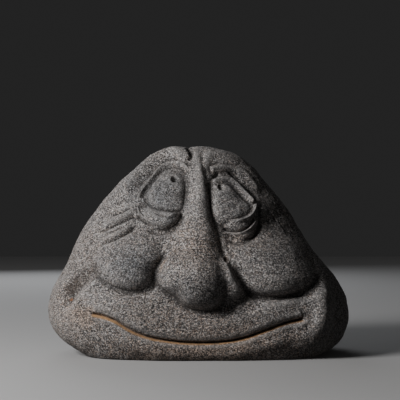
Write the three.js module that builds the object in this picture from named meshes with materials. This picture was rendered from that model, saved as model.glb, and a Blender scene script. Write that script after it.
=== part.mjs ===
// A granite boulder carved as a grinning, heavy-eyed face. Millimetres, +Z up.
// The face looks along -Y; the origin is under the middle of the face, on the flat underside.
import * as THREE from 'three';
import { mergeVertices } from 'three/addons/utils/BufferGeometryUtils.js';

// Grid of the stone's surface: columns run round the middle of the face, rows from there over the
// rim to the middle of the back. Relief is averaged over about one step of the grid.
const columns = 122;
const faceRows = 33;
const backRows = 7;
const averageOver = 4;

// The boulder: two superellipse halves that meet at the outline.
const middle = [0, 105];                    // X and Z where all the columns start
const faceDepth = 121;                      // middle of the face, ahead of the rim
const backDepth = 112;                      // middle of the back, behind the rim
const rimAtFoot = -6;                       // Y of the rim low down and at the crown
const rimAtCrown = 8;
const square = { up: 1.62, side: 2.3, right: 2.75, down: 5.5, back: 2.3 }; // superellipse powers
const footBlend = 2.5;                      // how softly the side turns into the flat underside
const unevenness = 2.2;                     // slow waves of the rough stone

// Outline in the front view, anticlockwise from the right end. Below zero it is the flat underside.
const outline = [
  [210, 56], [205, 82], [190, 108], [166, 137], [146, 166], [109, 222], [52, 272], [18, 287], [-20, 287],
  [-54, 276], [-88, 257], [-118, 231], [-158, 181], [-186, 122], [-202, 95], [-210, 64], [-205, 40],
  [-188, 20], [-162, 4], [-125, -11], [-60, -17], [60, -17], [125, -12], [167, 1], [194, 15], [207, 35],
];

// The ridge of the nose, from the crown down between the eyes. Its crest and the widths of its left
// and right flanks are given at the crown and at the foot.
const noseRidge = {
  crown: 286, foot: 150, crest: [2, 7], left: [12, 40], right: [8.5, 23], height: 16, end: 95,
};

// The stone's right side falls away beyond a soft corner, between two heights.
const rightFall = { start: 163, width: 40, depth: 28, low: 110, high: 170 };

// Hollows that the eyes lie in.
const sockets = [
  { at: [-43, 222], size: [46, 50], tilt: -20, depth: 9 },
  { at: [46, 208], size: [46, 52], tilt: 22, depth: 9 },
];

// Domed masses. at is the middle, outline is given from there; lift is how far the middle stands
// out, lean how much higher the mass is to its right for each mm, rise how deep the dome is, and
// join how soft its foot and its top run into the stone.
const masses = [
  { name: 'left cheek', at: [-95, 128], lift: 22.5, lean: 0, rise: 36, join: [4, 24],
    outline: [[48, 11], [39, -8], [34, -28], [18, -37], [-4, -37], [-28, -28], [-48, -8], [-44, 22],
      [-15, 42], [20, 40], [42, 28]] },
  { name: 'right cheek', at: [99, 122], lift: 20, lean: 0.1, rise: 28, join: [4, 24],
    outline: [[-59, 15], [-49, -8], [-40, -25], [-22, -35], [0, -37], [28, -33], [54, -18], [54, 6],
      [32, 30], [-4, 42], [-42, 36]] },
  { name: 'nose, with its left wing', at: [-8, 107], lift: 34, lean: 0, rise: 47, join: [5, 28],
    outline: [[45, -7], [41, -24], [29, -33], [12, -37], [-10, -31], [-29, -19], [-43, -8], [-47, 5],
      [-42, 19], [-29, 34], [0, 38], [30, 28]] },
  { name: 'ball of the nose', at: [3, 102], lift: 39.5, lean: 0, rise: 41, join: [6, 24],
    outline: [[35, 0], [25, -25], [1, -33], [-24, -24], [-34, 0], [-24, 25], [0, 34], [25, 24]] },
  { name: 'right wing of the nose', at: [42, 106], lift: 20, lean: 0, rise: 17, join: [11, 18],
    outline: [[17, -9], [13, -20], [1, -25], [-12, -22], [-18, -4], [-15, 16], [-6, 27], [1, 24], [7, 12]] },
  { name: 'bag under the left eye', at: [-50, 188], lift: 15.5, lean: 0.1, rise: 29, join: [2, 4],
    outline: [[28, 8], [24, -5], [15, -13], [4, -17], [-10, -15.5], [-22, -8], [-30, 4], [-31, 17],
      [-20, 15], [0, 9], [20, 10]] },
  { name: 'lower bag under the right eye', at: [56, 176], lift: 10, lean: 0.28, rise: 18, join: [2, 4],
    outline: [[-24, -7], [-11, -16], [0, -19], [11, -16], [20, -9], [25, 2], [26, 16], [24, 30],
      [10, 22], [0, 10], [-20, 5]] },
  { name: 'upper bag under the right eye', at: [52, 184], lift: 14, lean: 0.32, rise: 18, join: [2, 4],
    outline: [[-25, -7], [-13, -12], [0, -14], [11, -11], [20, -3], [25, 9], [26, 24], [16, 8],
      [0, 4], [-22, 3]] },
  { name: 'left eye', at: [-43, 222], lift: 12.5, lean: -0.16, rise: 20, join: [1, 1],
    outline: [[-29, -5], [-20, 14], [-8, 27], [6, 31], [18, 28], [26, 14], [26.5, -6], [23, -25],
      [2, -27], [-19, -20]] },
  { name: 'right eye', at: [42, 210], lift: 19, lean: 0.33, rise: 10, join: [1, 1],
    outline: [[-25, 16], [-20, 26], [-10, 29], [-1, 27.5], [7, 20], [17, 9], [31, -4], [20, -16],
      [4, -23], [-14, -25], [-23, -15], [-26, 2]] },
];

// Tooled lines. A band is [offset to the left of the line, half width, height]; ends are the shares
// of the length over which the line fades at its start and end.
const tooledLines = [
  { name: 'left brow', bands: [[0, 8, 8]], ends: [0, 0.4],
    at: [[-22, 279], [-52, 276], [-81, 253], [-114, 217], [-128, 201]] },
  { name: 'groove under the left brow', bands: [[-1, 5, -6.5]], ends: [0.15, 0.3],
    at: [[-15, 269], [-40, 269], [-62, 258], [-82, 237], [-112, 205]] },
  { name: 'right brow', bands: [[0, 11, 8]], ends: [0, 0.5],
    at: [[17, 271], [50, 265], [80, 239], [108, 203]] },
  { name: 'groove under the right brow', bands: [[0, 4, -5]], ends: [0.2, 0.1],
    at: [[35, 251], [52, 243], [68, 226], [81, 211]] },
  { name: 'right eyelid', bands: [[0, 3.5, 5]], ends: [0.1, 0.05],
    at: [[19, 235], [30, 240.5], [48, 236.5], [76, 208]] },
  { name: 'edge of the right bags', bands: [[0, 4, -4]], ends: [0.1, 0.2],
    at: [[82, 212], [82.5, 184], [70, 161], [45, 157], [34, 163]] },
  { name: 'groove beside the nose', bands: [[0, 4, -3]], ends: [0.1, 0.15],
    at: [[5, 287], [13.5, 229], [17.5, 195], [27, 166], [36, 136], [43, 121]] },
  { name: 'groove beside the right wing', bands: [[0, 4, -5]], ends: [0.12, 0.15],
    at: [[39, 136], [51, 111], [63, 88]] },
  { name: 'groove under the left cheek', bands: [[-0.5, 4.5, -4]], ends: [0.5, 0.1],
    at: [[-134, 104], [-109, 96], [-77, 90], [-58, 101], [-53, 129], [-36, 140]] },
  { name: 'groove under the right cheek', bands: [[0, 5, -8]], ends: [0.1, 0.18],
    at: [[58, 93], [76, 86], [111, 84.5], [146, 90]] },
  { name: 'mouth', bands: [[0, 4, -7], [8, 6, 2.5]], ends: [0.04, 0.04],
    at: [[-144, 62.5], [-108, 53], [-80, 37.5], [-45, 28.5], [12, 25], [60, 31], [104, 47], [140, 56]] },
  { name: 'upper lip', bands: [[0, 17, 7]], ends: [0.2, 0.2],
    at: [[-172, 74], [-112, 75], [-40, 50], [40, 50], [112, 70], [148, 74]] },
  { name: 'lower lip', bands: [[0, 11, 5]], ends: [0.25, 0.25],
    at: [[-165, 45], [-70, 17], [10, 10], [90, 22], [160, 42]] },
  { name: 'left smile fold', bands: [[0, 8, -10], [15, 8, 3]], ends: [0.5, 0.45],
    at: [[-122, 128], [-156, 105], [-176, 80], [-175, 50]] },
  { name: 'right smile ridge', bands: [[1.5, 16, 13]], ends: [0.25, 0.5],
    at: [[149, 99], [162, 72], [152, 41], [117, 20]] },
  { name: 'upper crow foot', bands: [[0, 3.5, -6], [7, 3, 3]], ends: [0.12, 0.45],
    at: [[-84, 193], [-108, 181], [-142, 168]] },
  { name: 'lower crow foot', bands: [[0, 3.5, -6], [-7, 3, 2]], ends: [0.12, 0.45],
    at: [[-80, 182], [-105, 165], [-138, 151]] },
].map((line) => ({ ...line, points: openCurve(line.at).getPoints(4 * line.at.length) }));

const pupils = [{ at: [-33.5, 242], radius: 6, depth: 5 }, { at: [31, 231], radius: 6, depth: 5 }];

function flatPoints(pairs) {
  return pairs.map(([x, z]) => new THREE.Vector3(x, z, 0));
}

function closedCurve(pairs) {
  return new THREE.CatmullRomCurve3(flatPoints(pairs), true, 'catmullrom', 0.5);
}

function openCurve(pairs) {
  return new THREE.CatmullRomCurve3(flatPoints(pairs), false, 'catmullrom', 0.5);
}

// Direction of a point as a share of a full turn, 0 to 1.
function turnOf(u, v) {
  return (Math.atan2(v, u) / (2 * Math.PI) + 1) % 1;
}

// Distance from a middle to a closed outline around it, as a function of the direction.
function outlineReach(pairs, [middleX, middleZ]) {
  const steps = 720;
  const ring = closedCurve(pairs).getPoints(steps).map(({ x, y }) => ({
    turn: turnOf(x - middleX, y - middleZ),
    reach: Math.hypot(x - middleX, y - middleZ),
  }));
  ring.sort((a, b) => a.turn - b.turn);
  const first = ring[0];
  const last = ring[ring.length - 1];
  ring.unshift({ turn: last.turn - 1, reach: last.reach });
  ring.push({ turn: first.turn + 1, reach: first.reach });
  const table = [];
  let i = 0;
  for (let step = 0; step <= steps; step += 1) {
    while (ring[i + 1].turn < step / steps) {
      i += 1;
    }
    const between = (step / steps - ring[i].turn) / (ring[i + 1].turn - ring[i].turn);
    table.push(mix(ring[i].reach, ring[i + 1].reach, between));
  }
  return (turn) => {
    const low = Math.min(Math.floor(turn * steps), steps - 1);
    return mix(table[low], table[low + 1], turn * steps - low);
  };
}

function mix(a, b, t) {
  return a + (b - a) * t;
}

// 0 to 1 with a level start and end.
function ease(t) {
  return THREE.MathUtils.smoothstep(t, 0, 1);
}

// The larger of two heights, with the corner between them rounded over a width k.
function softMax(a, b, k) {
  const h = THREE.MathUtils.clamp(0.5 + (a - b) / (2 * k), 0, 1);
  return mix(b, a, h) + k * h * (1 - h);
}

// Point of the bare boulder in one direction, at an angle from 0, the middle of the face, over
// pi / 2, the rim, to pi, the middle of the back.
function boulderPoint(turn, angle) {
  const across = rimReach(turn) * Math.cos(2 * Math.PI * turn);
  const up = rimReach(turn) * Math.sin(2 * Math.PI * turn);
  const slope = Math.sin(2 * Math.PI * turn);
  const onFace = angle <= Math.PI / 2;
  const side = onFace ? mix(square.side, square.right, ease(across / 160 - 0.2)) : square.back;
  const top = onFace ? square.up : square.back;
  const power = side + (top - side) * ease(slope) + (square.down - side) * ease(-slope);
  const fromMiddle = Math.min(angle, Math.PI - angle);
  const even = mix(1, 2 / power, ease(fromMiddle / 0.7));
  const reach = Math.sin(fromMiddle) ** even;
  const bulge = Math.max(1 - reach ** power, 0) ** (1 / power);
  const rimY = mix(rimAtFoot, rimAtCrown, ease((up + 60) / 200));
  const x = middle[0] + reach * across;
  const z = middle[1] + reach * up;
  const flatY = rimY * reach ** 2 + (onFace ? -faceDepth : backDepth) * bulge;
  const waves = Math.sin(x / 31 + z / 47 + 0.6) * Math.cos(z / 39 - flatY / 53)
    + 0.6 * Math.sin(flatY / 29 + x / 61 + 2);
  const y = flatY + unevenness * waves * (onFace ? -0.5 : 1.2) * Math.abs(Math.cos(angle));
  return new THREE.Vector3(x, y, z);
}

const rimReach = outlineReach(outline, middle);

for (const mass of masses) {
  mass.reach = outlineReach(mass.outline, [0, 0]);
}

// Height after one mass is added: a dome as far as the edge, then a steep straight skirt.
function addMass(height, x, z, mass) {
  const edge = 0.93;
  const u = x - mass.at[0];
  const v = z - mass.at[1];
  const q = Math.hypot(u, v) / mass.reach(turnOf(u, v));
  const inside = Math.min(q, edge);
  const skirt = mass.rise * edge / Math.sqrt(1 - edge * edge) * Math.max(q - edge, 0);
  const dome = mass.lift + mass.lean * u - mass.rise * (1 - Math.sqrt(1 - inside * inside)) - skirt;
  return softMax(height, dome, mix(mass.join[0], mass.join[1], ease(0.5 + v / 60)));
}

function noseRidgeHeight(x, z) {
  const n = noseRidge;
  const down = THREE.MathUtils.clamp((n.crown - z) / (n.crown - n.foot), 0, 1.4);
  const away = x - mix(n.crest[0], n.crest[1], down);
  const width = away < 0
    ? mix(n.left[0], n.left[1], down ** 2.2)
    : mix(n.right[0], n.right[1], down ** 1.5);
  const across = Math.exp(-((Math.abs(away) / width) ** 2.4));
  return n.height * ease(down * 3 + 0.3) * across * ease((z - n.end) / 40);
}

function rightFallDepth(x, z) {
  const f = rightFall;
  return f.depth * ease((x - f.start) / f.width) * ease((f.high - z) / (f.high - f.low));
}

function socketDepth(x, z, socket) {
  const turn = THREE.MathUtils.degToRad(socket.tilt);
  const dx = x - socket.at[0];
  const dz = z - socket.at[1];
  const u = dx * Math.cos(turn) + dz * Math.sin(turn);
  const v = dz * Math.cos(turn) - dx * Math.sin(turn);
  return socket.depth * ease(1.6 * (1 - Math.hypot(u / socket.size[0], v / socket.size[1])));
}

// How far the carved masses stand out of the boulder, straight forward.
function carvedHeight(x, z) {
  let height = noseRidgeHeight(x, z) - rightFallDepth(x, z);
  for (const socket of sockets) {
    height -= socketDepth(x, z, socket);
  }
  for (const mass of masses) {
    height = addMass(height, x, z, mass);
  }
  return height;
}

// Signed distance to a line, left of its run positive, and the share of its length there.
function besideLine(x, z, points) {
  let best = { distance: Infinity, side: 0, share: 0 };
  for (let i = 0; i + 1 < points.length; i += 1) {
    const a = points[i];
    const dx = points[i + 1].x - a.x;
    const dz = points[i + 1].y - a.y;
    const t = THREE.MathUtils.clamp(((x - a.x) * dx + (z - a.y) * dz) / (dx * dx + dz * dz), 0, 1);
    const ox = x - a.x - t * dx;
    const oz = z - a.y - t * dz;
    const distance = Math.hypot(ox, oz);
    if (distance < best.distance) {
      const side = Math.sign(dx * oz - dz * ox) * distance;
      best = { distance, side, share: (i + t) / (points.length - 1) };
    }
  }
  return best;
}

function lineHeight(x, z, line) {
  const { side, share } = besideLine(x, z, line.points);
  const [first, last] = line.ends;
  const fade = (first ? ease(share / first) : 1) * (last ? ease((1 - share) / last) : 1);
  const across = ([offset, width, height]) => height * Math.exp(-(((side - offset) / width) ** 2));
  return fade * line.bands.map(across).reduce((sum, part) => sum + part, 0);
}

// How far the tooled lines and the drilled pupils stand out of the masses.
function tooledHeight(x, z) {
  let height = 0;
  for (const line of tooledLines) {
    height += lineHeight(x, z, line);
  }
  for (const pupil of pupils) {
    const distance = Math.hypot(x - pupil.at[0], z - pupil.at[1]);
    height -= pupil.depth * ease(1.6 * (1 - distance / pupil.radius));
  }
  return height;
}

// The whole relief, averaged over a small ring around a point and the point itself.
function averageRelief(x, z) {
  const around = 8;
  let sum = carvedHeight(x, z) + tooledHeight(x, z);
  for (let i = 0; i < around; i += 1) {
    const turn = 2 * Math.PI * i / around;
    const nearX = x + averageOver * Math.cos(turn);
    const nearZ = z + averageOver * Math.sin(turn);
    sum += carvedHeight(nearX, nearZ) + tooledHeight(nearX, nearZ);
  }
  return sum / (around + 1);
}

function flattenFoot(z) {
  if (z <= -footBlend) {
    return 0;
  }
  return z < footBlend ? (z + footBlend) ** 2 / (4 * footBlend) : z;
}

function carvedStone() {
  const geometry = new THREE.SphereGeometry(1, columns, faceRows + backRows);
  const position = geometry.attributes.position;
  for (let row = 0; row <= faceRows + backRows; row += 1) {
    const share = row <= faceRows ? row / faceRows : 1 + (row - faceRows) / backRows;
    for (let column = 0; column <= columns; column += 1) {
      const point = boulderPoint((column % columns) / columns, share * Math.PI / 2);
      if (share < 1) {
        point.y -= averageRelief(point.x, point.z) * Math.cos(share * Math.PI / 2) ** 0.35;
      }
      position.setXYZ(row * (columns + 1) + column, point.x, point.y, flattenFoot(point.z));
    }
  }
  geometry.deleteAttribute('normal');
  geometry.deleteAttribute('uv');
  const stone = mergeVertices(geometry, 1e-3);
  stone.computeVertexNormals();
  return stone;
}

const granite = new THREE.MeshStandardMaterial({ color: 0x8d8b88, roughness: 0.88, metalness: 0 });
const head = new THREE.Mesh(carvedStone(), granite);
head.name = 'carved_stone_head';

const model = new THREE.Group();
model.add(head);

export default model;
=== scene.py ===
import math

import bpy
import numpy as np
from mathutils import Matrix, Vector


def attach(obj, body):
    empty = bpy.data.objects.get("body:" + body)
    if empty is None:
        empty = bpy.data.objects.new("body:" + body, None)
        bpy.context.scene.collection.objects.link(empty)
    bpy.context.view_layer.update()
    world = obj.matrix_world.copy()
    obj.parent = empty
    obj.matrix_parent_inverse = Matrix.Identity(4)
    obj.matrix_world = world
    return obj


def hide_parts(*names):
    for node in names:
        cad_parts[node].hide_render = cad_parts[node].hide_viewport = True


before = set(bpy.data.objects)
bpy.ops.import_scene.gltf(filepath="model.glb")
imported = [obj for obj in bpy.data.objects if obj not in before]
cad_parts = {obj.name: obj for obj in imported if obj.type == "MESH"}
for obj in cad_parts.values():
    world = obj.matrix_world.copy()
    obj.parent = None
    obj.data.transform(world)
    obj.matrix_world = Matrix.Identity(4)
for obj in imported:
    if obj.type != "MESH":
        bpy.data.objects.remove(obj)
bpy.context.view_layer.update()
mm = 0.001


def ease(t):                                   # 0 to 1 with a level start and end: 3 t squared less 2 t cubed
    t = np.clip(t, 0, 1)
    return t * t * (3 - 2 * t)


def mix(a, b, t):                              # a at t = 0, b at t = 1
    return a + (b - a) * t


# The larger of two heights, the corner between them rounded over a width k: h is the first one's part,
# which goes straight from 0 to 1 over twice that width, and k h (1 - h) lifts the corner.
def softMax(a, b, k):
    h = np.clip(0.5 + (a - b) / (2 * k), 0, 1)
    return mix(b, a, h) + k * h * (1 - h)


def bell(t):                                   # e to the minus t squared: 1 in the middle, nearly 0 at 2
    return np.exp(-t ** 2)


def spline(points, perSpan, closed=False):     # Catmull-Rom curve: each span a cubic through its two points
    p = np.array(points, float)
    p = np.vstack([p[-1:], p, p[:2]]) if closed else np.vstack([2 * p[0] - p[1], p, 2 * p[-1] - p[-2]])
    spans = len(p) - 3
    t = np.arange(spans * perSpan + 1) / perSpan
    i = np.minimum(t.astype(int), spans - 1)
    f = (t - i)[:, None]
    a, b, c, d = p[i], p[i + 1], p[i + 2], p[i + 3]
    bend, twist = 2 * a - 5 * b + 4 * c - d, 3 * b - a - 3 * c + d
    return 0.5 * (2 * b + (c - a) * f + bend * f ** 2 + twist * f ** 3)


# Distance from a middle to a closed outline, by direction: the outline's points are sorted by their
# angle around the middle, and the distance is read off between the two nearest.
def outlineReach(points, middle, angle):
    ring = spline(points, 24, closed=True)[:-1] - np.array(middle)
    around = np.arctan2(ring[:, 1], ring[:, 0])
    order = np.argsort(around)
    return np.interp(angle, around[order], np.hypot(ring[order, 0], ring[order, 1]), period=2 * np.pi)


def scramble(*cells):                          # whole numbers in, an even spread of 0 to 1 out
    h = np.zeros(cells[0].shape, np.uint32)
    for cell, prime in zip(cells, (73856093, 19349663, 83492791, 2654435761)):
        h = (h ^ (cell.astype(np.int64) * prime).astype(np.uint32)) * np.uint32(1540483477)
        h = h ^ (h >> np.uint32(15))
    return h / 4294967295.0


# Smooth random heights from -1 to 1, with bumps about size apart: the random values at the eight
# corners of a cubic cell, blended by how near each corner is.
def noise(x, y, z, size, seed):
    p = [c / size + 100 for c in (x, y, z)]
    i = [np.floor(c) for c in p]
    f = [ease(c - k) for c, k in zip(p, i)]
    total = 0
    for corner in range(8):
        step = [(corner >> axis) & 1 for axis in range(3)]
        weight = np.prod([f[k] if step[k] else 1 - f[k] for k in range(3)], axis=0)
        total = total + weight * scramble(*[i[k] + step[k] for k in range(3)], np.full_like(x, seed))
    return 2 * total - 1


# All sizes are in mm unless a note says otherwise. The stone's frame is the CAD's: the face looks
# along -Y and the stone stands on z = 0.

boulder = dict(
    columns=1080, faceRows=540, backRows=150,  # grid round the face and from its middle to the back's
    middle=(0, 105), faceDepth=121, backDepth=112,
    rimAtFoot=-6, rimAtCrown=8,                # y of the rim
    squareUp=1.62, squareSide=2.3, squareRight=2.75, squareDown=5.5, squareBack=2.3,
    rightwards=(0.2, 160), rimRise=(60, 200),  # where the right's power and the crown's rim set in
    evenUntil=0.7,                             # angle from the middle over which the rows even out
    unevenness=2.2, waveShares=(-0.5, 1.2),    # height of the slow waves, and its part on face and back
    waves=(31, 47, 39, 53, 29, 61),            # their lengths
    reliefHold=0.35, toolsFade=0.12,           # how the masses end at the rim, and the tools behind it
    footBlend=2.5,                             # how softly the side turns into the flat foot
    outline=[(210, 56), (205, 82), (190, 108), (166, 137), (146, 166), (109, 222), (52, 272), (18, 287),
             (-20, 287), (-54, 276), (-88, 257), (-118, 231), (-158, 181), (-186, 122), (-202, 95),
             (-210, 64), (-205, 40), (-188, 20), (-162, 4), (-125, -11), (-60, -17), (60, -17), (125, -12),
             (167, 1), (194, 15), (207, 35)],
)


# Rays run from the middle to the outline. Along each, reach and depth follow a superellipse: reach to
# the power p plus depth to the power p is 1, and p depends on the ray's direction. The angle from the
# middle goes from 0 on the face over a right angle at the rim to 0 again on the back.
def boulderSurface():
    b = boulder
    theta = (np.arange(b["columns"]) + 0.5) / b["columns"] * 2 * np.pi
    rim = outlineReach(b["outline"], b["middle"], theta)
    across, up = rim * np.cos(theta), rim * np.sin(theta)
    share = np.concatenate([np.linspace(0, 1, b["faceRows"] + 1), np.linspace(1, 2, b["backRows"] + 1)[1:]])
    share = share[:, None] * np.ones_like(theta)
    onFace = share <= 1
    fromMiddle = np.minimum(share, 2 - share) * np.pi / 2
    start, span = b["rightwards"]
    side = mix(b["squareSide"], b["squareRight"], ease(across / span - start))
    upward, downward = ease(np.sin(theta)), ease(-np.sin(theta))
    face = side + (b["squareUp"] - side) * upward + (b["squareDown"] - side) * downward
    back = b["squareBack"] + (b["squareDown"] - b["squareBack"]) * downward
    p = np.where(onFace, face, back)
    even = mix(1, 2 / p, ease(fromMiddle / b["evenUntil"]))
    reach = np.sin(fromMiddle) ** even
    bulge = np.clip(1 - reach ** p, 0, 1) ** (1 / p)
    x = b["middle"][0] + reach * across
    z = b["middle"][1] + reach * up
    below, span = b["rimRise"]
    rimY = mix(b["rimAtFoot"], b["rimAtCrown"], ease((up + below) / span))
    y = rimY * reach ** 2 + np.where(onFace, -b["faceDepth"], b["backDepth"]) * bulge
    u, v, w, s, t, r = b["waves"]
    waves = np.sin(x / u + z / v + 0.6) * np.cos(z / w - y / s) + 0.6 * np.sin(y / t + x / r + 2)
    y = y + b["unevenness"] * waves * np.where(onFace, *b["waveShares"]) * np.abs(np.cos(share * np.pi / 2))
    return x, y, z, share


def gridNormals(x, y, z):                      # outward: the cross product of the steps along row and column
    p = np.stack([x, y, z], -1)
    n = np.cross(np.gradient(p, axis=0), np.roll(p, -1, 1) - np.roll(p, 1, 1))
    n[0], n[-1] = (0, -1, 0), (0, 1, 0)
    return n / np.maximum(np.linalg.norm(n, axis=-1, keepdims=True), 1e-9)


# The crest's place and the widths of the left and right flank are given at the crown and at the foot;
# widening holds the powers by which the flanks widen, and rise how the ridge starts at the crown.
noseRidge = dict(crown=286, foot=150, crest=(2, 7), left=(12, 40), right=(8.5, 23), height=16, end=95,
                 fade=40, bluntness=2.4, widening=(2.2, 1.5), rise=(0.3, 3))

# The stone's right side falls away beyond a soft corner.
rightFall = dict(start=163, width=40, depth=28, low=110, high=170)

sockets = [
    dict(at=(-43, 222), size=(46, 50), tilt=-20, depth=9),
    dict(at=(46, 208), size=(46, 52), tilt=22, depth=9),
]

domeEdge = 0.93                                # share of the way to a mass's outline where its skirt begins
joinSpan = 60                                  # height over which a mass's join changes from foot to top
sideSteepness = 1.6                            # of the sockets' and the drilled pits' soft sides

# Domes. at is the middle and outline is given from there; lift is how far the middle stands out,
# rise how deep the dome is, join how softly its foot and its top run into the stone, and lean how
# much higher it is to its right for each mm.
masses = dict(
    leftCheek=dict(
        at=(-95, 128), lift=22.5, rise=36, join=(3, 24),
        outline=[(48, 11), (39, -8), (34, -28), (18, -37), (-4, -37), (-28, -28), (-48, -8), (-44, 22),
                 (-15, 42), (20, 40), (42, 28)]),
    rightCheek=dict(
        at=(99, 122), lift=20, rise=28, join=(3, 24), lean=0.1,
        outline=[(-59, 15), (-49, -8), (-40, -25), (-22, -35), (0, -37), (28, -33), (54, -18), (54, 6),
                 (32, 30), (-4, 42), (-42, 36)]),
    noseAndLeftWing=dict(
        at=(-8, 107), lift=34, rise=47, join=(4, 28),
        outline=[(45, -7), (41, -24), (29, -33), (12, -37), (-10, -31), (-29, -19), (-43, -8), (-47, 5),
                 (-42, 19), (-29, 34), (0, 38), (30, 28)]),
    noseBall=dict(
        at=(3, 102), lift=39.5, rise=41, join=(5, 24),
        outline=[(35, 0), (25, -25), (1, -33), (-24, -24), (-34, 0), (-24, 25), (0, 34), (25, 24)]),
    rightWing=dict(
        at=(42, 106), lift=20, rise=17, join=(11, 18),
        outline=[(17, -9), (13, -20), (1, -25), (-12, -22), (-18, -4), (-15, 16), (-6, 27), (1, 24),
                 (7, 12)]),
    leftBag=dict(
        at=(-50, 188), lift=15.5, rise=29, join=(1.5, 3), lean=0.1,
        outline=[(28, 8), (24, -5), (15, -13), (4, -17), (-10, -15.5), (-22, -8), (-30, 4), (-31, 17),
                 (-20, 15), (0, 9), (20, 10)]),
    rightLowerBag=dict(
        at=(56, 176), lift=10, rise=18, join=(1.5, 3), lean=0.28,
        outline=[(-24, -7), (-11, -16), (0, -19), (11, -16), (20, -9), (25, 2), (26, 16), (24, 30),
                 (10, 22), (0, 10), (-20, 5)]),
    rightUpperBag=dict(
        at=(52, 184), lift=14, rise=18, join=(1.5, 3), lean=0.32,
        outline=[(-25, -7), (-13, -12), (0, -14), (11, -11), (20, -3), (25, 9), (26, 24), (16, 8),
                 (0, 4), (-22, 3)]),
    leftEye=dict(
        at=(-43, 222), lift=12.5, rise=20, join=(1, 1), lean=-0.16,
        outline=[(-29, -5), (-20, 14), (-8, 27), (6, 31), (18, 28), (26, 14), (26.5, -6), (23, -25),
                 (2, -27), (-19, -20)]),
    rightEye=dict(
        at=(42, 210), lift=19, rise=10, join=(1, 1), lean=0.33,
        outline=[(-25, 16), (-20, 26), (-10, 29), (-1, 27.5), (7, 20), (17, 9), (31, -4), (20, -16),
                 (4, -23), (-14, -25), (-23, -15), (-26, 2)]),
)


# q is the share of the way from the middle to the outline; the dome is a quarter ellipse over q as
# far as the edge, then a steep straight skirt, joined to what is there by a soft maximum.
def addMass(height, x, z, mass):
    edge = domeEdge
    u, v = x - mass["at"][0], z - mass["at"][1]
    q = np.hypot(u, v) / outlineReach(mass["outline"], (0, 0), np.arctan2(v, u))
    inside = np.minimum(q, edge)
    skirt = mass["rise"] * edge / math.sqrt(1 - edge * edge) * np.maximum(q - edge, 0)
    dome = mass["lift"] + mass.get("lean", 0) * u - mass["rise"] * (1 - np.sqrt(1 - inside * inside)) - skirt
    return softMax(height, dome, mix(*mass["join"], ease(0.5 + v / joinSpan)))


def socketDepth(x, z, socket):                 # an oval hollow, turned by its tilt, with soft sides
    turn = math.radians(socket["tilt"])
    dx, dz = x - socket["at"][0], z - socket["at"][1]
    u = (dx * math.cos(turn) + dz * math.sin(turn)) / socket["size"][0]
    v = (dz * math.cos(turn) - dx * math.sin(turn)) / socket["size"][1]
    return socket["depth"] * ease(sideSteepness * (1 - np.hypot(u, v)))


# The ridge of the nose: a rounded bar across its crest, wider further down, fading in at the crown
# and out at its end.
def ridgeHeight(x, z):
    n = noseRidge
    down = np.clip((n["crown"] - z) / (n["crown"] - n["foot"]), 0, 1.4)
    away = x - mix(*n["crest"], down)
    leftPower, rightPower = n["widening"]
    width = np.where(away < 0, mix(*n["left"], down ** leftPower), mix(*n["right"], down ** rightPower))
    across = np.exp(-(np.abs(away) / width) ** n["bluntness"])
    atCrown, steepness = n["rise"]
    return n["height"] * ease(down * steepness + atCrown) * ease((z - n["end"]) / n["fade"]) * across


def carvedHeight(x, z):                        # how far the masses stand out, straight forward
    f = rightFall
    fall = f["depth"] * ease((x - f["start"]) / f["width"]) * ease((f["high"] - z) / (f["high"] - f["low"]))
    height = ridgeHeight(x, z) - fall
    for socket in sockets:
        height = height - socketDepth(x, z, socket)
    for mass in masses.values():
        height = addMass(height, x, z, mass)
    return height


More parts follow.
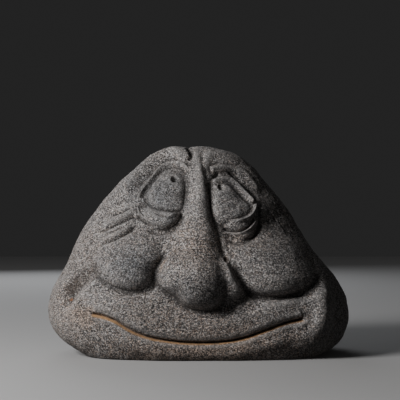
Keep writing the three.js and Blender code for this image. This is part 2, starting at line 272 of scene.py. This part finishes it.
# A band is (offset to the left of the line, half width, height); ends are the shares of the length
# over which the line fades at its start and end, and 0 leaves that end round.
toolLines = dict(
    leftBrow=dict(
        at=[(-22, 279), (-36, 280), (-52, 276), (-67, 266), (-81, 253), (-97, 236), (-114, 217), (-128, 201)],
        bands=[(0, 7, 8)], ends=(0, 0.4)),
    leftBrowGroove=dict(
        at=[(-15, 269), (-33, 270), (-47, 268), (-59, 261), (-71, 249), (-82, 237), (-95, 222), (-112, 205)],
        bands=[(-1, 5, -6.5)], ends=(0.15, 0.3)),
    browPit=dict(at=[(-14, 284), (-10.5, 279), (-11, 274), (-15, 269)], bands=[(0, 2.6, -7)], ends=(0, 0.2)),
    browEnd=dict(at=[(-21, 276), (-19, 271)], bands=[(0, 5.5, -4)], ends=(0, 0)),
    leftLidCrest=dict(
        at=[(-86, 212), (-78, 222), (-70, 233), (-62, 244), (-53, 256), (-43, 262), (-31, 263.5),
            (-20, 260.5), (-13, 253)],
        bands=[(0, 2.1, 5)], ends=(0.12, 0.12)),
    leftLidGroove=dict(
        at=[(-78, 216), (-70, 228), (-62, 240), (-54, 250), (-44, 256.5), (-31, 258), (-20.5, 254),
            (-16.5, 247)],
        bands=[(0, 1.8, -2)], ends=(0.1, 0.1)),
    leftLowerLid=dict(
        at=[(-76, 217), (-72, 208), (-64, 201), (-54, 197.5), (-44, 195.5), (-33, 194.5), (-22, 194)],
        bands=[(-0.6, 1.8, 4.5), (3, 2.6, -2)], ends=(0.1, 0.1)),
    leftBagCrease=dict(
        at=[(-83, 208), (-80, 197), (-74, 189), (-66, 184), (-57, 181), (-47, 180)],
        bands=[(0, 1.7, 4), (-3, 1.5, -2.5)], ends=(0.12, 0.4)),
    leftBagEdge=dict(
        at=[(-81, 187), (-73, 176), (-61, 170), (-48, 168.5), (-35, 172.5), (-25, 182), (-19, 195)],
        bands=[(-0.5, 3, -3.5)], ends=(0.45, 0.1)),
    rightBrow=dict(
        at=[(17, 271), (34, 270), (50, 265), (66, 253), (80, 239), (95, 221), (108, 203)],
        bands=[(0, 11, 8)], ends=(0, 0.5)),
    rightBrowCrest=dict(
        at=[(16, 252), (24, 254.5), (34, 255), (46, 252), (58, 247), (68, 238), (76, 229), (85, 219)],
        bands=[(0.5, 3.6, 4.5)], ends=(0.06, 0.15)),
    rightBrowGroove=dict(
        at=[(35, 251), (43, 250), (52, 243), (60, 235), (68, 226), (75, 218), (81, 211)],
        bands=[(0, 2.2, -4.2)], ends=(0.3, 0.1)),
    rightLid=dict(
        at=[(19, 235), (23, 238.5), (30, 240.5), (40, 240.5), (48, 236.5), (58, 226.5), (67, 216.5),
            (76, 208)],
        bands=[(0.3, 2.5, 5.5), (-4.6, 2.4, -1.8)], ends=(0.12, 0.05)),
    rightLidHook=dict(at=[(29, 250.5), (25, 246.5), (20, 242)], bands=[(0, 2.4, -3)], ends=(0.3, 0.2)),
    rightLowerLid=dict(
        at=[(77, 208), (76, 200), (71.5, 192.5), (64, 187.5), (54, 185), (40, 184.5), (27, 185)],
        bands=[(0, 2.2, 4.5)], ends=(0.05, 0.4)),
    rightBagLine=dict(
        at=[(77, 190), (71, 181.5), (63, 175), (53, 171.5), (43, 171.5), (33, 174)],
        bands=[(0, 1.7, -5), (3.2, 1.8, 2.5)], ends=(0.15, 0.15)),
    rightBagEdge=dict(
        at=[(82, 212), (83.5, 198), (82.5, 184), (78.5, 171), (70, 161), (57, 155), (45, 157), (34, 163)],
        bands=[(0, 3.2, -4)], ends=(0.1, 0.2)),
    noseFlank=dict(
        at=[(4, 287), (6, 268), (9.5, 250), (13.5, 229), (15.5, 212), (17.5, 195), (21.5, 181), (27, 166),
            (30, 152), (36, 136), (43, 121)],
        bands=[(0, 3.4, -3)], ends=(0.1, 0.15)),
    rightWingCrease=dict(at=[(39, 136), (45, 123), (51, 111), (58, 99), (63, 88)], bands=[(0, 3, -5)],
                         ends=(0.12, 0.15)),
    ballArris=dict(at=[(-20, 111), (-6, 107.5), (8, 102), (21, 94)], bands=[(-1.8, 2, 1.4), (1.8, 2, -1.4)],
                   ends=(0.25, 0.25)),
    leftCheekCrease=dict(
        at=[(-134, 104), (-120, 101), (-109, 96), (-93, 91), (-77, 90), (-65, 92), (-58.5, 101), (-57, 116),
            (-53, 129), (-45, 136.5), (-36, 140)],
        bands=[(-0.5, 4.2, -3)], ends=(0.5, 0.1)),
    rightCheekCrease=dict(
        at=[(58, 93), (76, 86), (92, 83.5), (111, 84.5), (128, 87.5), (146, 90)],
        bands=[(0, 5, -8)], ends=(0.1, 0.18)),
    mouth=dict(
        at=[(-144, 62.5), (-134, 61), (-122, 58.5), (-108, 53), (-95, 45), (-80, 37.5), (-65, 32.5),
            (-45, 28.5), (-18, 25.5), (12, 25), (36, 26.5), (60, 31), (82, 39), (104, 47), (120, 52),
            (132, 54), (140, 56)],
        bands=[(0.4, 1.4, -5.5), (-1.6, 1.9, -3), (8, 6, 2.5), (-6, 4, 1.2)], ends=(0.06, 0.03)),
    mouthEnd=dict(at=[(104, 47), (120, 52), (132, 54), (140, 56)], bands=[(0.5, 2.6, -3)], ends=(0.6, 0.1)),
    upperLip=dict(
        at=[(-172, 74), (-144, 80), (-112, 75), (-80, 61), (-40, 50), (0, 47), (40, 50), (80, 60), (112, 70),
            (148, 74)],
        bands=[(0, 17, 7)], ends=(0.2, 0.2)),
    lowerLip=dict(
        at=[(-165, 45), (-110, 32), (-70, 17), (-30, 11), (10, 10), (50, 13), (90, 22), (120, 32), (160, 42)],
        bands=[(0, 11, 5)], ends=(0.25, 0.25)),
    leftSmileFold=dict(
        at=[(-122, 128), (-140, 118), (-156, 105), (-168, 93), (-176, 80), (-179, 66), (-175, 50)],
        bands=[(0, 8, -10), (15, 8, 3), (-14, 7, 4)], ends=(0.5, 0.45)),
    rightSmileRidge=dict(
        at=[(149, 99), (158, 88), (162, 72), (160, 56), (152, 41), (137, 29), (117, 20)],
        bands=[(1.5, 16, 13)], ends=(0.25, 0.5)),
    rightMouthCorner=dict(at=[(143, 86), (146, 72), (147, 58), (146, 46)], bands=[(0, 5, -1.5)],
                          ends=(0.3, 0.4)),
    mouthNub=dict(at=[(137, 49), (142, 51.5)], bands=[(0, 4, 2.5)], ends=(0, 0)),
    crowFootTop=dict(at=[(-90, 205), (-101, 199), (-113, 194), (-127, 190)],
                     bands=[(0, 2.3, -6.5), (4.8, 2.3, 3)], ends=(0.2, 0.5)),
    crowFootSecond=dict(at=[(-84, 193), (-95, 187), (-108, 181), (-123, 175), (-142, 168)],
                        bands=[(0, 2.8, -9), (5.2, 2.4, 4), (-5, 2.4, 3)], ends=(0.15, 0.4)),
    crowFootLowest=dict(at=[(-80, 182), (-91, 173), (-105, 165), (-121, 158), (-138, 151)],
                        bands=[(0, 2.3, -6.5), (-5, 2.5, 2.5)], ends=(0.3, 0.4)),
)

drilled = [
    dict(at=(-33.5, 242), radius=5.4, depth=7.5),
    dict(at=(31, 231), radius=5.4, depth=6),
    dict(at=(35, 211), radius=1.8, depth=1.6),
    dict(at=(37, 135), radius=4.5, depth=4),
]


# Signed distance to a line, left of its run positive, and the share of its length there, both from the
# nearest point of the nearest of its straight stretches.
def besideLine(x, z, points):
    best, side, share = np.full(x.shape, 1e9), np.zeros(x.shape), np.zeros(x.shape)
    for i, ((ax, az), (dx, dz)) in enumerate(zip(points[:-1], np.diff(points, axis=0))):
        t = np.clip(((x - ax) * dx + (z - az) * dz) / (dx * dx + dz * dz), 0, 1)
        ox, oz = x - ax - t * dx, z - az - t * dz
        distance = np.hypot(ox, oz)
        near = distance < best
        best = np.where(near, distance, best)
        side = np.where(near, np.sign(dx * oz - dz * ox) * distance, side)
        share = np.where(near, (i + t) / (len(points) - 1), share)
    return side, share


def lineHeight(x, z, line):                    # each band is a bell across the line, faded at the line's ends
    points = spline(line["at"], 6)
    reach = max(abs(offset) + 3 * width for offset, width, height in line["bands"])
    low, high = points.min(0) - reach, points.max(0) + reach
    near = (x > low[0]) & (x < high[0]) & (z > low[1]) & (z < high[1])
    side, share = besideLine(x[near], z[near], points)
    first, last = line["ends"]
    fade = (ease(share / first) if first else 1) * (ease((1 - share) / last) if last else 1)
    height = np.zeros(x.shape)
    height[near] = fade * sum(tall * bell((side - offset) / width) for offset, width, tall in line["bands"])
    return height


def tooledHeight(x, z):                        # lines and drilled pits, square to the surface
    height = sum(lineHeight(x, z, line) for line in toolLines.values())
    for pit in drilled:
        distance = np.hypot(x - pit["at"][0], z - pit["at"][1])
        height = height - pit["depth"] * ease(sideSteepness * (1 - distance / pit["radius"]))
    return height


skin = dict(
    dents=((26, 0.9, 11), (11, 0.45, 12), (5, 0.28, 13), (2.6, 0.16, 14)),   # size, height, seed
    chipMiddle=(112, -20, 190), chipSize=(24, 60, 42), chipDepth=1.6,
    chipGrain=(16, 5.5, 30), chipTilt=-58,     # a chip's length, width and depth, and its lean in degrees
    chipLevel=0.15, chipSharpness=3, fineChips=(0.6, 0.45), chipSeeds=(21, 22),
)


# Soft dents of falling size, and broken chips on the right temple: the chips are noise stretched along
# their tilt, cut off below a level, and kept to one place.
def skinHeight(x, y, z):
    height = sum(tall * noise(x, y, z, size, seed) for size, tall, seed in skin["dents"])
    away = [(c - m) / s for c, m, s in zip((x, y, z), skin["chipMiddle"], skin["chipSize"])]
    place = bell(np.sqrt(sum(a * a for a in away)))
    tilt = math.radians(skin["chipTilt"])
    along = (x * math.cos(tilt) + z * math.sin(tilt)) / skin["chipGrain"][0]
    across = (z * math.cos(tilt) - x * math.sin(tilt)) / skin["chipGrain"][1]
    inward = y / skin["chipGrain"][2]
    first, second = skin["chipSeeds"]
    share, size = skin["fineChips"]
    broken = noise(along, inward, across, 1, first) + share * noise(along, inward, across, size, second)
    return height - skin["chipDepth"] * place * ease((broken - skin["chipLevel"]) * skin["chipSharpness"])


def flattenFoot(z):                            # 0 below the foot, z above it, and a parabola between the two
    k = boulder["footBlend"]
    return np.where(z < -k, 0, np.where(z < k, (z + k) ** 2 / (4 * k), z))


# Points of the finished surface: the boulder, the masses straight forward, then the tooled lines and
# the skin along the normal.
def carvedStone():
    x, y, z, share = boulderSurface()
    normal = gridNormals(x, y, z)
    front = np.clip(np.cos(np.minimum(share, 1) * np.pi / 2), 0, 1)
    y = y - np.where(share < 1, carvedHeight(x, z) * front ** boulder["reliefHold"], 0)
    fade = boulder["toolsFade"]
    tooled = tooledHeight(x, z) * ease((1 + fade - share) / fade)
    height = tooled + skinHeight(x, y, z)
    x, y, z = x + normal[..., 0] * height, y + normal[..., 1] * height, z + normal[..., 2] * height
    return x, y, flattenFoot(z)


# A closed skin from the grid: a ring of quads between two rows, and a fan of triangles at each end.
def meshFromGrid(name, x, y, z):
    rows, columns = x.shape
    points = np.stack([x, y, z], -1) * mm
    ring = points[1:-1].reshape(-1, 3)
    allPoints = np.vstack([points[:1, 0], ring, points[-1:, 0]])
    column = np.arange(columns)
    following = (column + 1) % columns
    start = 1 + np.arange(rows - 3)[:, None] * columns
    nextRow = start + columns
    quads = np.stack([start + column, start + following, nextRow + following, nextRow + column], -1)
    last = 1 + (rows - 3) * columns
    firstFan = np.stack([np.zeros_like(column), following + 1, column + 1], -1)
    lastFan = np.stack([np.full_like(column, len(allPoints) - 1), last + column, last + following], -1)
    mesh = bpy.data.meshes.new(name)
    corners = np.concatenate([quads.ravel(), firstFan.ravel(), lastFan.ravel()]).astype(np.int32)
    sizes = np.concatenate([np.full(quads.size // 4, 4), np.full(2 * columns, 3)])
    mesh.vertices.add(len(allPoints))
    mesh.vertices.foreach_set("co", allPoints.astype(np.float32).ravel())
    mesh.loops.add(len(corners))
    mesh.loops.foreach_set("vertex_index", corners)
    mesh.polygons.add(len(sizes))
    mesh.polygons.foreach_set("loop_start", (np.cumsum(sizes) - sizes).astype(np.int32))
    mesh.polygons.foreach_set("use_smooth", np.ones(len(sizes), bool))
    mesh.update(calc_edges=True)
    mesh.validate()
    return mesh


# Stains of the granite, and the step and depth by which the hollows get painted shade.
stainsAndShade = dict(
    hollowStep=9, hollowDepth=1.3,             # grid steps over which a hollow is felt, and its full depth
    ochreBand=(-2.2, 1.4),                     # middle, below the mouth's line, and half width
    ochreTaper=(1.3, 0.7), taperRate=1.6,      # that width's factor at the left and further right
    frontFade=(40, 60),                        # y where the marks of the front are gone, and their fade
    mouthEnds=0.03, lineEnds=0.3,              # shares of a line over which its mark fades at the ends
    warmPlaces=[                               # x, z, half width, half height, strength
        (0, 10, 130, 26, 1.0), (-152, 57, 24, 13, 0.9), (-190, 60, 40, 60, 0.4), (-10, 150, 45, 38, 0.45),
        (-140, 150, 60, 26, 0.25), (-60, 62, 90, 24, 0.35), (55, 160, 40, 14, 0.35), (70, 40, 90, 22, 0.35),
    ],
    coolPlaces=[                               # these are darker as well as bluer
        (-88, 128, 42, 32, 1.0), (0, 94, 38, 26, 0.6), (-88, 236, 34, 34, 0.45), (-46, 214, 34, 40, 0.9),
        (100, 135, 36, 22, 0.45), (48, 208, 36, 44, 0.55),
    ],
    brownLines=[                               # points, half width, strength
        ([(-118, 134), (-142, 123), (-160, 107), (-174, 91), (-183, 74)], 14, 0.75),
        ([(-160, 104), (-172, 92), (-180, 79), (-185, 66)], 5, 0.3),
        ([(-116, 90), (-92, 84), (-66, 85)], 5, 0.55),
        ([(-76, 180), (-62, 170), (-45, 170)], 6, 0.35),
    ],
    # An orange tint along the lit left edge of the nose wing, there also a painted highlight.
    ochreAndHighlightLines=[                               # points, half width, strength
        ([(-50, 108), (-50, 120), (-45, 131), (-38, 138)], 1.9, 0.28),
    ],
    rust=[(-172, 78, 2.4)],                    # x, z, radius
    pits=[(37, 135, 5)],                       # x, z, radius of a brown pit
)


def placed(x, z, places):                      # the sum of soft ovals
    return np.clip(sum(s * bell(np.hypot((x - a) / w, (z - c) / t)) for a, c, w, t, s in places), 0, 1)


# How far a point lies below the mean of its four neighbours some steps away, along its normal; the granite
# gets painted shade where a point lies below.
def hollowShare(x, y, z):
    p = np.stack([x, y, z], -1)
    k = stainsAndShade["hollowStep"]
    rows = np.arange(len(p))
    before, after = p[np.maximum(rows - k, 0)], p[np.minimum(rows + k, len(p) - 1)]
    around = (before + after + np.roll(p, k, 1) + np.roll(p, -k, 1)) / 4
    return np.sum((around - p) * gridNormals(x, y, z), -1) / stainsAndShade["hollowDepth"]


def besidePoints(x, z, points, width):         # 1 on a line, dying away over the width and at its ends
    side, share = besideLine(x, z, spline(points, 4))
    fade = stainsAndShade["lineEnds"]
    return bell(side / width) * ease(share / fade) * ease((1 - share) / fade)


def stainAndShadeShares(x, y, z):                      # one array for each mark that the granite reads: stains, wear, and painted shade in the hollows
    behind, fade = stainsAndShade["frontFade"]
    front = ease((behind - y) / fade)
    side, share = besideLine(x, z, spline(toolLines["mouth"]["at"], 4))
    middle, width = stainsAndShade["ochreBand"]
    ends = ease(share / stainsAndShade["mouthEnds"]) * ease((1 - share) / stainsAndShade["mouthEnds"])
    taper = mix(*stainsAndShade["ochreTaper"], ease(share * stainsAndShade["taperRate"]))
    line = ends * bell((side - middle) / (width * taper))
    # the nose wing's lit edge: orange tint and painted highlight
    edge = sum(strength * besidePoints(x, z, points, w) for points, w, strength in stainsAndShade["ochreAndHighlightLines"])
    hollow = hollowShare(x, y, z)
    brown = sum(strength * besidePoints(x, z, points, w) for points, w, strength in stainsAndShade["brownLines"])
    rust, pits = [sum(bell(np.hypot(x - a, z - c) / r) for a, c, r in stainsAndShade[name])
                  for name in ("rust", "pits")]
    return dict(
        # painted shade in the hollows
        hollow=np.clip(hollow, 0, 1),
        worn=np.clip(-hollow, 0, 1),
        ochre=front * np.clip(line + edge, 0, 1),
        warm=mix(0.35, placed(x, z, stainsAndShade["warmPlaces"]), front),
        cool=front * placed(x, z, stainsAndShade["coolPlaces"]),
        brown=front * np.clip(brown + pits, 0, 1),
        rust=front * np.clip(rust, 0, 1),
    )


class Wire:                                    # an output socket; arithmetic on it adds Math nodes
    def __init__(self, finish, socket):
        self.finish, self.socket = finish, socket

    def math(self, operation, a, b):
        return self.finish.node("ShaderNodeMath", {"operation": operation}, {0: a, 1: b})

    def __add__(self, other):
        return self.math("ADD", self, other)

    def __radd__(self, other):
        return self.math("ADD", other, self)

    def __sub__(self, other):
        return self.math("SUBTRACT", self, other)

    def __rsub__(self, other):
        return self.math("SUBTRACT", other, self)

    def __mul__(self, other):
        return self.math("MULTIPLY", self, other)

    def __rmul__(self, other):
        return self.math("MULTIPLY", other, self)


class Finish:                                  # a material and its node tree
    def __init__(self, name):
        self.material = bpy.data.materials.new(name)
        self.material.use_nodes = True
        self.tree = self.material.node_tree
        self.shader = self.tree.nodes["Principled BSDF"]
        self.place = self.node("ShaderNodeTexCoord", output="Object")

    # Adds a node: its settings first, then its sockets, each a wire or a plain value.
    def node(self, kind, settings={}, inputs={}, output=0):
        node = self.tree.nodes.new(kind)
        for key, value in settings.items():
            if key == "stops":
                self.setStops(node.color_ramp, value)
            else:
                setattr(node, key, value)
        for key, value in inputs.items():
            self.feed(node.inputs[key], value)
        return Wire(self, node.outputs[output])

    def feed(self, socket, value):
        if isinstance(value, Wire):
            self.tree.links.new(value.socket, socket)
        else:
            socket.default_value = value

    def setStops(self, ramp, stops):
        while len(ramp.elements) < len(stops):
            ramp.elements.new(1)
        for element, (at, shade) in zip(ramp.elements, stops):
            element.position, element.color = at, (*shade, 1)

    def mark(self, name):                      # an attribute of the piece, as a share
        return self.node("ShaderNodeAttribute", {"attribute_name": name}, output="Fac")

    def grains(self, size, seed):              # a random value for each cell of that size, in mm
        moved = self.node("ShaderNodeMapping", {}, {"Vector": self.place, "Location": (seed, seed / 3, 0)})
        cell = self.node("ShaderNodeTexVoronoi", {}, {"Vector": moved, "Scale": 1 / (size * mm)}, "Color")
        return self.node("ShaderNodeSeparateColor", {}, {"Color": cell})

    def clouds(self, size, detail, seed):      # fractal noise around 0.5 with that main size, in mm
        moved = self.node("ShaderNodeMapping", {}, {"Vector": self.place, "Location": (seed, 0, seed / 2)})
        return self.node("ShaderNodeTexNoise", {},
                         {"Vector": moved, "Scale": 1 / (size * mm), "Detail": detail})

    def ramp(self, value, stops):              # colours at stops along 0 to 1
        return self.node("ShaderNodeValToRGB", {"stops": stops}, {"Fac": value})

    def between(self, value, low, high):       # 0 at low, 1 at high, held outside
        return self.node("ShaderNodeMapRange", {}, {"Value": value, "From Min": low, "From Max": high})

    def mixColour(self, share, a, b, blend="MIX"):
        return self.node("ShaderNodeMix", {"data_type": "RGBA", "blend_type": blend},
                         {"Factor": share, 6: a, 7: b}, 2)


granite = dict(
    grainSize=1.12, fineSize=0.66,             # mm
    grainSeeds=(0.0, 3.1, 5.7),                # coarse, fine and the grains that differ in warmth
    grainTones=[(0.0, (0.008, 0.008, 0.008)), (0.32, (0.018, 0.017, 0.018)), (0.42, (0.10, 0.096, 0.096)),
                (0.55, (0.17, 0.163, 0.162)), (0.66, (0.38, 0.362, 0.355)), (0.78, (0.9, 0.87, 0.85))],
    coarsePart=0.52, patchSwing=0.12,          # the coarse grains' part of the tone, and the slow drift
    patches=(11, 4, 1.7),                      # clouds: size in mm, detail, seed
    # For each mark: the clouds that make it uneven, how far they swing it, and the values between
    # which it goes from 0 to 1.
    marks=dict(
        warm=dict(clouds=(8, 4, 8.4), swing=1.2, between=(0.0, 1.0)),
        cool=dict(clouds=(24, 4, 5.2), swing=0.9, between=(0.15, 1.0)),
        # the hollows' painted shade
        hollow=dict(clouds=(6, 4, 2.2), swing=0.5, between=(0.15, 0.95)),
        brown=dict(clouds=(4, 4, 4.4), swing=1.5, between=(0.3, 1.0)),
        ochre=dict(clouds=(5, 3, 6.1), swing=0.6, between=(0.1, 0.9)),
    ),
    warmGrainSwing=1.3, rustSwing=0.5, rustBetween=(0.35, 0.8),
    warm=(1.0, 0.80, 0.66, 1), cool=(0.52, 0.56, 0.60, 1), ochre=(0.62, 0.36, 0.17, 1),
    # The first colour below is painted shade, a near black laid into hollows and creases.
    paintedHollowShade=(0.03, 0.027, 0.025, 1), brown=(0.045, 0.028, 0.019, 1), rust=(0.36, 0.13, 0.03, 1),
    worn=(0.42, 0.41, 0.40, 1),
    wornPart=0.3, paintedHollowShadePart=0.6, brownPart=0.68, rustPart=0.8,
    ochrePart=(0.5, 0.6),                      # on the darkest grains, and what the lightest add
    roughness=(0.88, -0.18),                   # on one kind of fine grain, and what the other adds
    relief=(1.4, 3, 9.3), reliefParts=(0.6, 0.4, 0.9),     # clouds; parts of coarse, fine and clouds
    grainBump=0.5, grainBumpDistance=0.0006,
)


# A mark made uneven: the mark, plus its clouds less a half times their swing, plus any more, goes
# from 0 to 1 between two values.
def unevenMark(f, name, more=0):
    m = granite["marks"][name]
    return f.between(f.mark(name) + (f.clouds(*m["clouds"]) - 0.5) * m["swing"] + more, *m["between"])


def makeGranite():
    g, f = granite, Finish("granite")
    coarse, fine, warmGrains = [f.grains(size, seed) for size, seed in
                                zip((g["grainSize"], g["fineSize"], g["grainSize"]), g["grainSeeds"])]
    patches = f.clouds(*g["patches"]) - 0.5
    tone = coarse * g["coarsePart"] + fine * (1 - g["coarsePart"]) + patches * g["patchSwing"]
    colour = f.ramp(tone, g["grainTones"])
    warmth = unevenMark(f, "warm", (warmGrains - 0.5) * g["warmGrainSwing"])
    colour = f.mixColour(warmth, colour, f.mixColour(1.0, colour, g["warm"], "MULTIPLY"))
    coolness = unevenMark(f, "cool")
    colour = f.mixColour(coolness, colour, f.mixColour(1.0, colour, g["cool"], "MULTIPLY"))
    colour = f.mixColour(f.mark("worn") * g["wornPart"], colour, g["worn"])
    # Painted shade in the hollows and creases: the deeper, the darker.
    colour = f.mixColour(unevenMark(f, "hollow") * g["paintedHollowShadePart"], colour, g["paintedHollowShade"])
    colour = f.mixColour(unevenMark(f, "brown") * g["brownPart"], colour, g["brown"])
    # The ochre is a stain along the mouth, and on the nose wing's lit edge a tint that is partly painted
    # highlight.
    least, added = g["ochrePart"]
    colour = f.mixColour(unevenMark(f, "ochre") * (least + tone * added), colour, g["ochre"])
    rust = f.between(f.mark("rust") + (fine - 0.5) * g["rustSwing"], *g["rustBetween"])
    colour = f.mixColour(rust * g["rustPart"], colour, g["rust"])
    f.feed(f.shader.inputs["Base Color"], colour)
    least, added = g["roughness"]
    f.feed(f.shader.inputs["Roughness"], least + fine * added)
    ofCoarse, ofFine, ofClouds = g["reliefParts"]
    relief = coarse * ofCoarse + fine * ofFine + f.clouds(*g["relief"]) * ofClouds
    f.feed(f.shader.inputs["Normal"], f.node("ShaderNodeBump", {}, {
        "Strength": g["grainBump"], "Distance": g["grainBumpDistance"], "Height": relief}))
    return f.material


stonePiece = dict(name="graniteFace", triangles=192000)


def makeStone():
    x, y, z = carvedStone()
    mesh = meshFromGrid(stonePiece["name"], x, y, z)
    for name, share in stainAndShadeShares(x, y, z).items():
        values = np.concatenate([share[:1, 0], share[1:-1].ravel(), share[-1:, 0]])
        mesh.attributes.new(name, "FLOAT", "POINT").data.foreach_set("value", values.astype(np.float32))
    stone = bpy.data.objects.new(stonePiece["name"], mesh)
    bpy.context.scene.collection.objects.link(stone)
    mesh.materials.append(makeGranite())
    triangles = 2 * len(mesh.vertices) - 4
    if triangles > stonePiece["triangles"]:
        fewer = stone.modifiers.new("fewerTriangles", "DECIMATE")
        fewer.ratio = stonePiece["triangles"] / triangles
    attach(stone, "root")
    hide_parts("carved_stone_head")
    return stone


print("carving the stone")
stone = makeStone()
print("stone ready, grid of", len(stone.data.vertices), "points")

studio = dict(
    cameraAt=(0.0021, -1.8, 0.213), lens=114.6,            # metres, and mm of lens
    floor=3.0, floorGrey=0.55, floorRoughness=0.9,         # half the floor's side in metres
    skyGrey=0.75, skyStrength=0.03,
    aimAt=(0, 0, 0.12),                        # what the lamps face, inside the stone
    lamps=[                                    # place, size in metres, watts, shade
        dict(name="keyLamp", at=(-1.16, -0.97, 0.86), size=0.6, power=25, shade=(1, 0.985, 0.975)),
        dict(name="backLamp", at=(-0.5, 1.7, 0.9), size=1.2, power=8, shade=(0.95, 0.97, 1)),
    ],
)


def makeFloor():
    half = studio["floor"]
    mesh = bpy.data.meshes.new("studioFloor")
    corners = [(-half, -half, 0), (half, -half, 0), (half, half, 0), (-half, half, 0)]
    mesh.from_pydata(corners, [], [(0, 1, 2, 3)])
    floor = bpy.data.objects.new("studioFloor", mesh)
    bpy.context.scene.collection.objects.link(floor)
    paint = bpy.data.materials.new("floorPaint")
    paint.use_nodes = True
    shader = paint.node_tree.nodes["Principled BSDF"]
    shader.inputs["Base Color"].default_value = (*[studio["floorGrey"]] * 3, 1)
    shader.inputs["Roughness"].default_value = studio["floorRoughness"]
    mesh.materials.append(paint)
    floor.visible_diffuse = False              # it takes light and shadow but throws none back


def makeLamp(name, at, size, power, shade):    # a square soft lamp that faces the stone
    light = bpy.data.lights.new(name, "AREA")
    light.size, light.energy, light.color = size, power, shade
    lamp = bpy.data.objects.new(name, light)
    bpy.context.scene.collection.objects.link(lamp)
    lamp.location = at
    aim = Vector(studio["aimAt"]) - lamp.location
    lamp.rotation_euler = aim.to_track_quat("-Z", "Y").to_euler()


def makeSky():                                 # a faint even light from all round
    world = bpy.data.worlds.new("studioSky")
    world.use_nodes = True
    background = world.node_tree.nodes["Background"]
    background.inputs["Color"].default_value = (*[studio["skyGrey"]] * 3, 1)
    background.inputs["Strength"].default_value = studio["skyStrength"]
    bpy.context.scene.world = world


def makeCamera():                              # level, straight ahead of the face
    cameraData = bpy.data.cameras.new("camera")
    cameraData.lens = studio["lens"]
    camera = bpy.data.objects.new("camera", cameraData)
    camera.location = studio["cameraAt"]
    camera.rotation_euler = (math.pi / 2, 0, 0)
    bpy.context.scene.collection.objects.link(camera)
    bpy.context.scene.camera = camera


makeFloor()
for lamp in studio["lamps"]:
    makeLamp(**lamp)
makeSky()
makeCamera()
print("floor, lamps, sky and camera ready")
